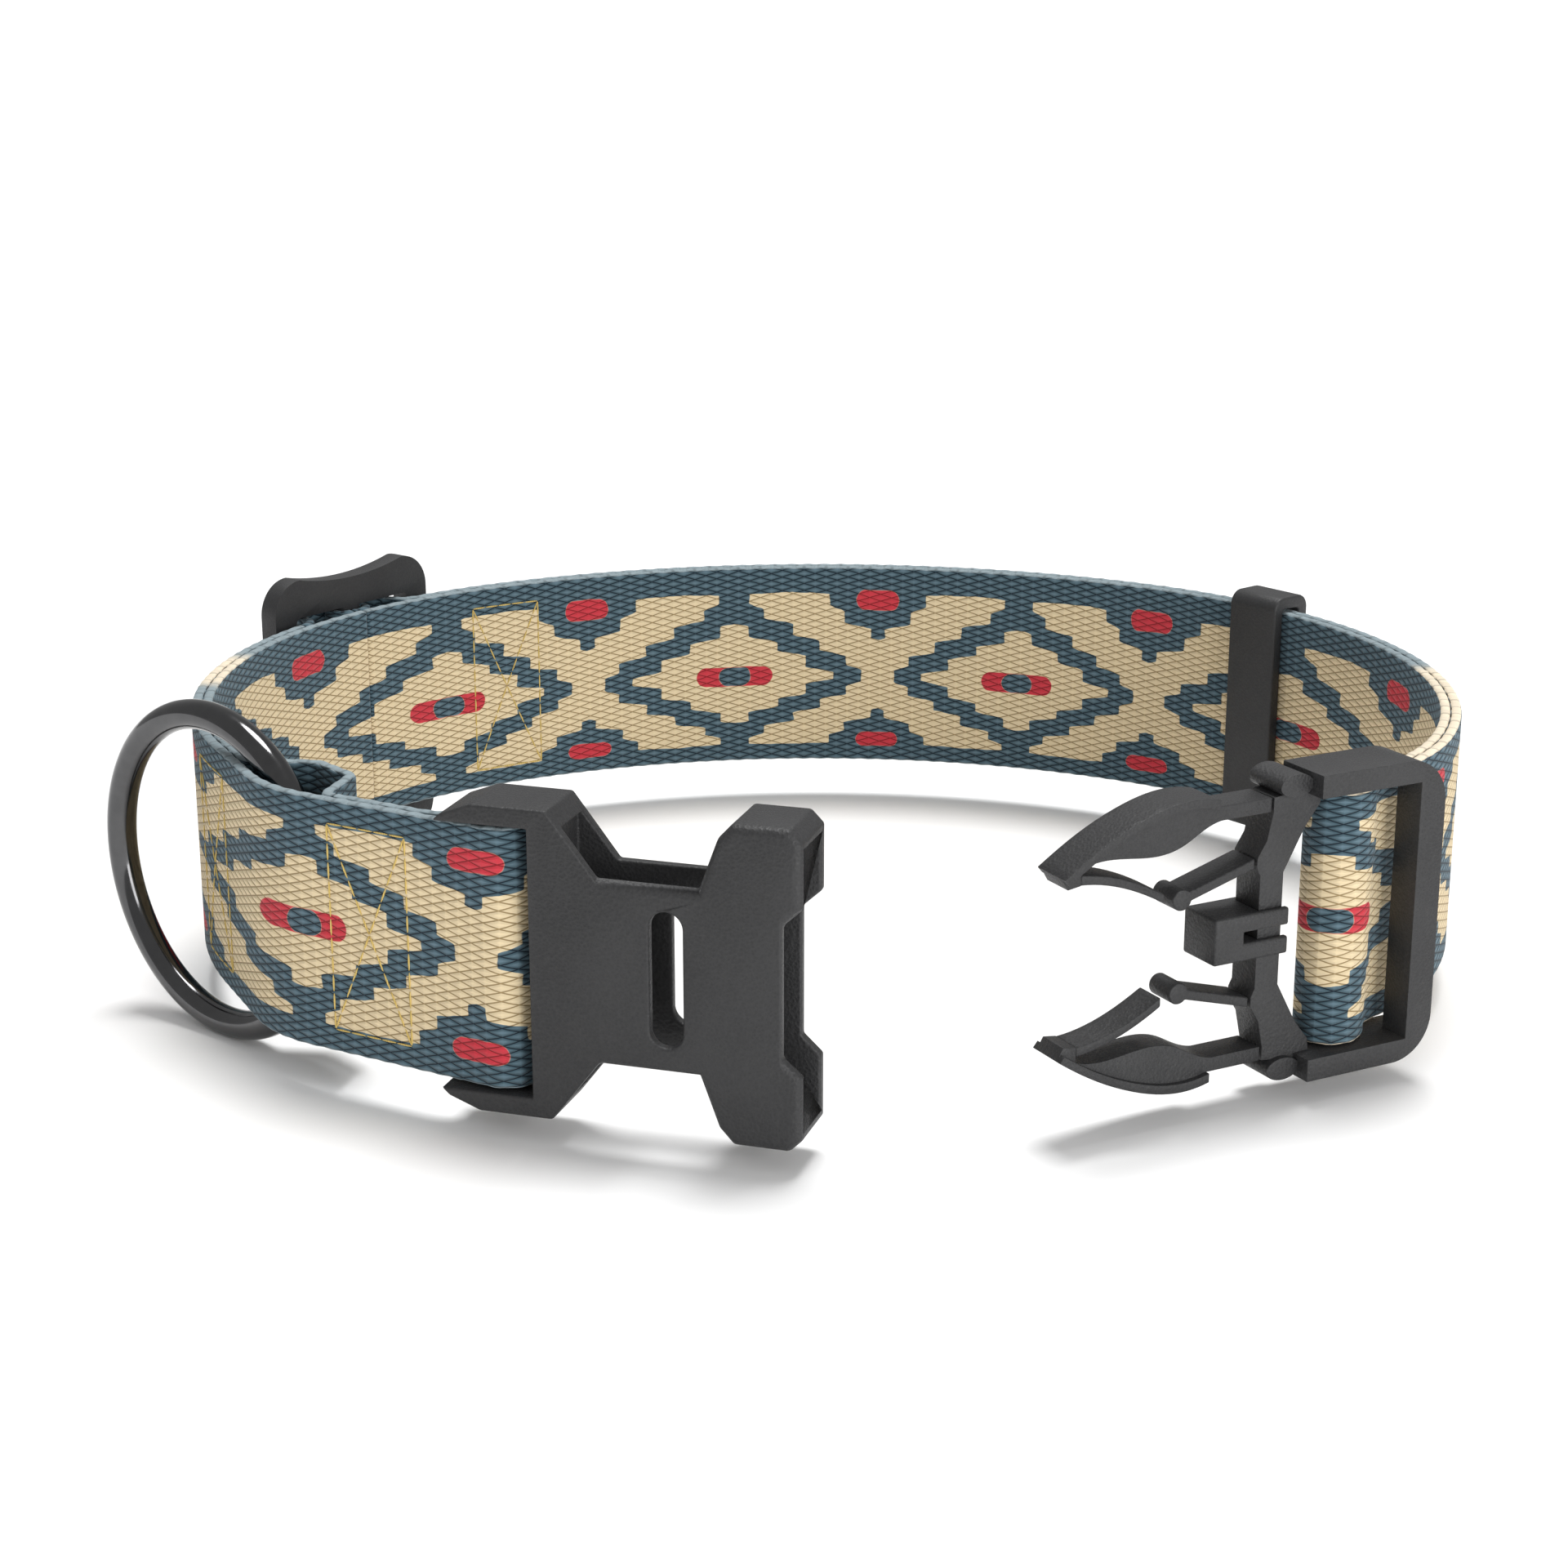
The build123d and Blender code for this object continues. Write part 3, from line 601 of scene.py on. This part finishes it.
# ---------------------------------------------------------------- webbing pieces
# The print's own length at stations along the seam: whole repeats fall on the diamonds' middles.
OUTER_PRINT = [(1.2, -REPEAT / 2), (21.2, 0.0), (24.0, 2.8), (46.0, 15.5), (58.0, 18.0)]
MALE_LOOP_REPEATS = 7
MALE_LOOP_SHARE = 0.66
INNER_STATIONS = [70.0, 90.8, 114.4, 133.5, 152.8, 171.2, 189.4, 206.8, 228.0, 250.8, 272.0]
INNER_PRINT = [(station, (index - 2) * REPEAT / 2) for index, station in enumerate(INNER_STATIONS)]
INNER_DROOP = 1.5
NO_PLACE = (0.0, 0.0)
EVERY_PLACE = (-1.0, 99.0)


def ribbon(name, pose, moves, printed, droop, replaced, plain=NO_PLACE):
    """A length of webbing on its edge, with its print laid along it.

    The print lies lower by the droop in the middle of the strap. Between the two places of plain,
    the edge has no rim colour.
    """
    route = Route(pose, moves)
    columns = max(6, round(route.length / WEBBING_COLUMN))
    deselect()
    bpy.ops.mesh.primitive_grid_add(x_subdivisions=columns, y_subdivisions=WEBBING_ROWS, size=1)
    strip = bpy.context.object
    strip.name = name
    mesh = strip.data
    mesh.uv_layers.active.name = "strap"
    mesh.uv_layers.new(name="print")
    strap, print_layer = mesh.uv_layers["strap"].data, mesh.uv_layers["print"].data
    for loop in mesh.loops:
        flat = mesh.vertices[loop.vertex_index].co
        place = (flat.x + 0.5) * route.length
        height = flat.y * WEBBING_WIDTH
        lowered = droop * (1 - (height / HALF_WIDTH) ** 2)
        edge = PLAIN_SHARE if plain[0] < place < plain[1] else 1.0
        strap[loop.index].uv = (place, height * edge)
        print_layer[loop.index].uv = (printed(place), height + lowered)
    for vertex in mesh.vertices:
        station = (vertex.co.x + 0.5) * route.length
        height = vertex.co.y * WEBBING_WIDTH
        if abs(vertex.co.y) > 0.499:
            wave = math.cos(2 * math.pi * station / SCALLOP_PITCH)
            height -= math.copysign(SCALLOP_DEPTH * (1 - wave) / 2, height)
        x, y, heading = route.at(station)
        vertex.co = (x * MM, y * MM, (MID_HEIGHT + height) * MM)
    thicken = strip.modifiers.new("thickness", "SOLIDIFY")
    thicken.thickness = WEBBING_THICKNESS * MM
    thicken.offset = 0.0
    bevel(strip, SELVAGE_BEVEL, 2, 50.0)
    apply_all(strip)
    pick(strip)
    bpy.ops.object.mode_set(mode="EDIT")
    bpy.ops.mesh.select_all(action="SELECT")
    bpy.ops.mesh.normals_make_consistent(inside=False)
    bpy.ops.object.mode_set(mode="OBJECT")
    smooth(strip, 60.0)
    dress(strip, "band", "webbing", WEBBING, *replaced)


def ease(rise):
    """The turn of each of the two arcs that carry the strap sideways by a rise."""
    return math.degrees(math.acos(1 - rise / (2 * LOOP_EASE_RADIUS)))


ring_radius = (RING_OUTER_DIAMETER - RING_WIRE) / 2
ring_room = ring_radius - math.sqrt(ring_radius**2 - HALF_WIDTH**2) + RING_WIRE / 2
tunnel_start = RING_STATION - ring_room - TUNNEL_LEAD
tunnel_deep_start = tunnel_start + TUNNEL_FILLET + TUNNEL_FRONT_SLOPE
tunnel_deep_end = tunnel_deep_start + ring_room + TUNNEL_SPARE_LENGTH
tunnel_end = tunnel_deep_end + TUNNEL_BACK_SLOPE + TUNNEL_FILLET
tunnel_floor = -RING_WIRE - TUNNEL_SPARE_DEPTH - HALF_LAYER

inner_ease = ease(2 * LOOP_RADIUS - WEBBING_THICKNESS)
female_loop_run = 2 * LOOP_EASE_RADIUS * math.sin(math.radians(inner_ease))
male_ease = ease(LOOP_RADIUS - HALF_LAYER)
male_loop_run = 2 * LOOP_EASE_RADIUS * math.sin(math.radians(male_ease))
male_loop_station = SEAM_LENGTH - male_loop_run

fold_height = FOLD_INSIDE_HEIGHT + 2 * WEBBING_THICKNESS
bumped_radius = FLANK_RADIUS + HALF_LAYER
bump_lean = math.asin(BUMP_HALF_LENGTH / bumped_radius)
bump_rise = fold_height + 2 * STACK_GAP + bumped_radius * (1 - math.cos(bump_lean))
bump_drop = BUMP_RADIUS * (1 + math.cos(bump_lean)) - bump_rise
bump_steepest = math.acos(bump_drop / (2 * BUMP_RADIUS))
bump_ramp = BUMP_RADIUS * (2 * math.sin(bump_steepest) - math.sin(bump_lean))
bump_half_station = FLANK_RADIUS * bump_lean
BRIDGE = [
    bend(BUMP_RADIUS, math.degrees(bump_steepest - bump_lean)),
    bend(BUMP_RADIUS, -math.degrees(bump_steepest)),
    (2 * (BUMP_HALF_LENGTH - bump_ramp), 0),
    bend(BUMP_RADIUS, -math.degrees(bump_steepest)),
    bend(BUMP_RADIUS, math.degrees(bump_steepest - bump_lean)),
]


def outer_strap():
    """The outer layer, from the tunnel's front round both buckle bars and over the slide."""
    straight = tunnel_start - female_loop_run
    moves = [
        (straight, 0),
        bend(LOOP_EASE_RADIUS, inner_ease),
        bend(LOOP_EASE_RADIUS, -inner_ease),
        bend(LOOP_RADIUS, -180),
        (female_loop_run, 0),
    ]
    front = sum(length for length, turn in moves) - female_loop_run
    moves += seam_piece(female_loop_run, SLIDE_STATION - bump_half_station, HALF_LAYER)[1]
    moves += BRIDGE
    moves += seam_piece(SLIDE_STATION + bump_half_station, male_loop_station, HALF_LAYER)[1]
    moves += [
        bend(LOOP_EASE_RADIUS, male_ease),
        bend(LOOP_EASE_RADIUS, -male_ease),
        bend(LOOP_RADIUS, -180),
    ]
    loop_middle = sum(length for length, turn in moves) - moves[-1][0] * MALE_LOOP_SHARE
    marks = [(front + station, value) for station, value in OUTER_PRINT]
    marks += [(loop_middle, MALE_LOOP_REPEATS * REPEAT)]
    bump_start = front + SLIDE_STATION - bump_half_station
    bump_end = front + SLIDE_STATION + bump_half_station + BUMP_COVER
    ribbon(
        "outer_strap",
        turn_round(at(tunnel_start, -HALF_LAYER)),
        moves,
        lambda place: between(marks, place),
        0.0,
        [
            "webbing_outer_left",
            "webbing_outer_right",
            "webbing_slide_bridge",
            "webbing_female_loop",
            "webbing_male_loop",
            "webbing_inner_front",
        ],
        (bump_start, bump_end),
    )


def inner_strap():
    """The inner layer from the male bar back to the slide."""
    start = beside(at(SEAM_LENGTH), -LOOP_RADIUS)
    back = backwards(seam_piece(SLIDE_STATION, male_loop_station, -HALF_LAYER)[1])
    moves = [bend(LOOP_EASE_RADIUS, -male_ease), bend(LOOP_EASE_RADIUS, male_ease)] + back
    length = sum(move[0] for move in moves)
    ribbon(
        "inner_strap",
        turn_round(start),
        moves,
        lambda place: between(INNER_PRINT, SLIDE_STATION + length - place),
        INNER_DROOP,
        ["webbing_inner_right"],
    )


def tunnel_strap():
    """The inner layer from the front to the slide, with the ring's tunnel in it."""
    corners = [
        at(tunnel_start, -HALF_LAYER),
        at(tunnel_start + TUNNEL_FILLET, -HALF_LAYER),
        at(tunnel_deep_start, tunnel_floor),
        at(tunnel_deep_end, tunnel_floor),
        at(tunnel_end - TUNNEL_FILLET, -HALF_LAYER),
        at(tunnel_end, -HALF_LAYER),
    ]
    moves = corners_to_moves(corners, TUNNEL_FILLET)
    moves += seam_piece(tunnel_end, SLIDE_STATION, -HALF_LAYER)[1]
    length = sum(move[0] for move in moves)
    ribbon(
        "tunnel_strap",
        at(tunnel_start, -HALF_LAYER),
        moves,
        lambda place: between(INNER_PRINT, SLIDE_STATION - length + place),
        INNER_DROOP,
        ["webbing_ring_tunnel", "webbing_inner_left"],
    )


def slide_fold():
    """The strap's end, folded round the slide's middle bar."""
    corner = FOLD_INSIDE_HEIGHT / 2 + HALF_LAYER
    centre = STACK_GAP + fold_height / 2
    start = beside(step(at(SLIDE_STATION), (-FOLD_STRAIGHT / 2, 0)), centre - corner)
    moves = [
        (FOLD_STRAIGHT, 0),
        bend(corner, 180),
        (FOLD_STRAIGHT, 0),
        bend(corner, FOLD_LAST_TURN),
    ]
    ribbon(
        "slide_fold",
        start,
        moves,
        lambda place: place + REPEAT / 2,
        0.0,
        ["webbing_slide_fold"],
        EVERY_PLACE,
    )


outer_strap()
inner_strap()
tunnel_strap()
slide_fold()


# ---------------------------------------------------------------- stitching
def stitch_model():
    """One stitch: a short thread, thickest in its middle and dipping at both ends."""
    deselect()
    bpy.ops.mesh.primitive_uv_sphere_add(segments=8, ring_count=6, radius=0.5)
    stitch = bpy.context.object
    stitch.name = "stitch_model"
    bpy.ops.object.mode_set(mode="EDIT")
    bpy.ops.mesh.select_all(action="SELECT")
    bpy.ops.transform.rotate(value=math.pi / 2, orient_axis="Y", center_override=(0, 0, 0))
    across = STITCH_THICKNESS * MM
    bpy.ops.transform.resize(
        value=(STITCH_LENGTH * MM, across, across), center_override=(0, 0, 0)
    )
    bpy.ops.object.mode_set(mode="OBJECT")
    return stitch


def stitch_rows():
    """The straight rows of a rectangle with a cross in it."""
    half = STITCH_BOX_HEIGHT / 2
    corners = [(0, -half), (STITCH_BOX_WIDTH, -half), (STITCH_BOX_WIDTH, half), (0, half)]
    sides = list(zip(corners, corners[1:] + corners[:1]))
    return sides + [(corners[0], corners[2]), (corners[1], corners[3])]


def stitch_box(name, model, first):
    """Stitches on both faces of the sewn layers, from one station on."""
    copies = []
    for outwards in (1, -1):
        offset = outwards * (WEBBING_THICKNESS + STITCH_THICKNESS * STITCH_LIFT)
        for a, b in stitch_rows():
            length = math.dist(a, b)
            count = round(length / STITCH_PITCH)
            for index in range(count):
                share = (index + 0.5) / count
                up = a[1] + (b[1] - a[1]) * share
                pose = at(first + a[0] + (b[0] - a[0]) * share, offset)
                copy = model.copy()
                copy.data = model.data.copy()
                bpy.context.scene.collection.objects.link(copy)
                rise = math.atan2(b[1] - a[1], b[0] - a[0])
                copy.location = (pose[0] * MM, pose[1] * MM, (MID_HEIGHT + up) * MM)
                copy.rotation_euler = (0, -rise, math.radians(pose[2]))
                copies.append(copy)
    deselect()
    for copy in copies:
        copy.select_set(True)
    bpy.context.view_layer.objects.active = copies[0]
    bpy.ops.object.join()
    box = bpy.context.object
    box.name = name + "_thread"
    settle(box)
    smooth(box, 80.0)
    dress(box, "band", "thread", THREAD, name)


model = stitch_model()
stitch_box("stitch_box_a", model, tunnel_start - STITCH_BOX_A_GAP - STITCH_BOX_WIDTH)
stitch_box("stitch_box_b", model, tunnel_end + STITCH_BOX_B_GAP)
stitch_box("stitch_box_c", model, BOX_C_STATION)
bpy.data.objects.remove(model)


# ---------------------------------------------------------------- hardware
FEMALE_HEADING = -17.5
PLATE_START = 6.0
SLOT_END = 7.2
FACE_DEPTH = 0.01
FLAT_ANGLE = math.radians(12)
WELD_DISTANCE = 0.000002
DISSOLVE_ANGLE = math.radians(0.6)


def weigh_front(copy, share):
    """Marks the outline of the housing's front for the widest bevel, its other edges for less."""
    mesh = copy.data
    weights = mesh.attributes.new("bevel_weight_edge", "FLOAT", "EDGE").data
    turn = math.radians(FEMALE_HEADING)
    facing = Vector((math.sin(turn), -math.cos(turn), 0))
    along = Vector((math.cos(turn), math.sin(turn), 0))
    low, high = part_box("female_bar")
    bar = (low + high) / 2
    front = max(vertex.co.dot(facing) for vertex in mesh.vertices) - FACE_DEPTH * MM
    normals = {}
    for polygon in mesh.polygons:
        for key in polygon.edge_keys:
            normals.setdefault(key, []).append(polygon.normal)
    for edge in mesh.edges:
        sides = normals[edge.key]
        if len(sides) != 2 or sides[0].angle(sides[1], 0.0) < FLAT_ANGLE:
            continue
        ends = [mesh.vertices[index].co for index in edge.vertices]
        outline = min(end.dot(facing) for end in ends) > front
        reach = min((end - bar).dot(along) for end in ends)
        rise = max(abs(end.z - bar.z) for end in ends)
        widest = outline and reach > PLATE_START * MM and rise > SLOT_END * MM
        weights[edge.index].value = 1.0 if widest else share


def moulding(node, body, slot, material, rounding, segments=2, front_share=0.0):
    """A CAD part's copy with its edges rounded, as a moulding has them."""
    deselect()
    copy = frame["nodes"][node].copy()
    copy.data = copy.data.copy()
    bpy.context.scene.collection.objects.link(copy)
    copy.parent = None
    copy.name = node + "_rounded"
    del copy["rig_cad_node"]
    pick(copy)
    bpy.ops.object.mode_set(mode="EDIT")
    bpy.ops.mesh.select_all(action="SELECT")
    bpy.ops.mesh.remove_doubles(threshold=WELD_DISTANCE)
    bpy.ops.mesh.dissolve_limited(angle_limit=DISSOLVE_ANGLE)
    bpy.ops.object.mode_set(mode="OBJECT")
    modifier = bevel(copy, rounding, segments, 32.0)
    if front_share:
        weigh_front(copy, front_share)
        modifier.limit_method = "WEIGHT"
        modifier.use_clamp_overlap = False
    apply_all(copy)
    smooth(copy, 38.0)
    dress(copy, body, slot, material, node)


moulding("female_housing", "female_half", "buckle_plastic", BUCKLE_PLASTIC, 0.9, 4, 0.3)
moulding("female_bar", "female_half", "buckle_plastic", BUCKLE_PLASTIC, 0.2)
moulding("male_frame", "male_half", "buckle_plastic", BUCKLE_PLASTIC, 0.4, 3)
moulding("male_bar", "male_half", "buckle_plastic", BUCKLE_PLASTIC, 0.2)
moulding("male_guide", "male_half", "buckle_plastic", BUCKLE_PLASTIC, 0.25)
for level in ("upper", "lower"):
    moulding(f"{level}_prong", f"{level}_arm", "buckle_plastic", BUCKLE_PLASTIC, 0.3)
    moulding(f"{level}_tip_strip", f"{level}_arm", "buckle_plastic", BUCKLE_PLASTIC, 0.15)
    moulding(f"{level}_strut", f"{level}_link", "buckle_plastic", BUCKLE_PLASTIC, 0.2)
moulding("slide_frame", "slide", "hardware_plastic", HARDWARE_PLASTIC, 0.4, 3)
moulding("keeper", "keeper_loop", "hardware_plastic", HARDWARE_PLASTIC, 0.3, 3)


def leash_ring():
    """A bent wire ring, its section and its sweep both finely divided."""
    low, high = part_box("leash_ring")
    centre = (low + high) / 2
    spread = high - low
    heading = math.atan2(spread.y - RING_WIRE * MM, RING_WIRE * MM - spread.x)
    deselect()
    bpy.ops.mesh.primitive_torus_add(
        major_segments=160,
        minor_segments=28,
        major_radius=ring_radius * MM,
        minor_radius=RING_WIRE / 2 * MM,
        location=centre,
        rotation=(math.pi / 2, 0, heading),
    )
    ring = bpy.context.object
    ring.name = "bent_wire_ring"
    settle(ring)
    smooth(ring, 60.0)
    dress(ring, "ring", "ring_metal", NICKEL, "leash_ring")


leash_ring()


# ---------------------------------------------------------------- floor, light and camera
CAMERA_PLACE = (-0.0044, -0.2983, 0.10825)
CAMERA_DOWN = 16.77
CAMERA_LENS = 65.6
CAMERA_SENSOR = 36.0
CAMERA_NEAR = 0.01
CAMERA_FAR = 50.0
FLOOR_SIZE = 60.0
FLOOR_PLACE = (0, 2.0, 0)

WORLD_STRENGTH = 0.42
SUN_STRENGTH = 2.7
SUN_WIDTH = 26
SUN_TURN = (-14, 3, 0)
FRONT_LAMP_PLACE = (0.50, -0.75, 0.24)
FRONT_LAMP_TARGET = (0, 0.03, 0.015)
FRONT_LAMP_SIZE = 0.5
FRONT_LAMP_POWER = 5.0


def stage():
    """The floor that the collar stands on."""
    deselect()
    bpy.ops.mesh.primitive_plane_add(size=FLOOR_SIZE, location=FLOOR_PLACE)
    floor = bpy.context.object
    floor.name = "floor"
    settle(floor)
    floor.data.materials.append(floor_material())


def lamp(name, data):
    made = bpy.data.objects.new(name, data)
    bpy.context.scene.collection.objects.link(made)
    return made


def lighting():
    """An even white world, a wide sun high behind and a square lamp in front on the right."""
    world = bpy.data.worlds.new("studio")
    world.use_nodes = True
    background = world.node_tree.nodes["Background"]
    background.inputs["Color"].default_value = (1.0, 1.0, 1.0, 1)
    background.inputs["Strength"].default_value = WORLD_STRENGTH
    bpy.context.scene.world = world
    data = bpy.data.lights.new("high_back", "SUN")
    data.energy = SUN_STRENGTH
    data.angle = math.radians(SUN_WIDTH)
    sun = lamp("high_back", data)
    sun.rotation_euler = [math.radians(turn) for turn in SUN_TURN]
    data = bpy.data.lights.new("front_right", "AREA")
    data.size = FRONT_LAMP_SIZE
    data.energy = FRONT_LAMP_POWER
    front = lamp("front_right", data)
    front.location = FRONT_LAMP_PLACE
    aim = Vector(FRONT_LAMP_TARGET) - Vector(FRONT_LAMP_PLACE)
    front.rotation_euler = aim.to_track_quat("-Z", "Y").to_euler()


def camera():
    """The photo's viewpoint, level from side to side."""
    data = bpy.data.cameras.new("camera")
    data.lens = CAMERA_LENS
    data.sensor_width = CAMERA_SENSOR
    data.clip_start = CAMERA_NEAR
    data.clip_end = CAMERA_FAR
    seen = bpy.data.objects.new("camera", data)
    seen.location = CAMERA_PLACE
    seen.rotation_euler = (math.radians(90 - CAMERA_DOWN), 0, 0)
    bpy.context.scene.collection.objects.link(seen)
    bpy.context.scene.camera = seen


stage()
lighting()
camera()
bpy.context.scene.view_settings.view_transform = "Standard"
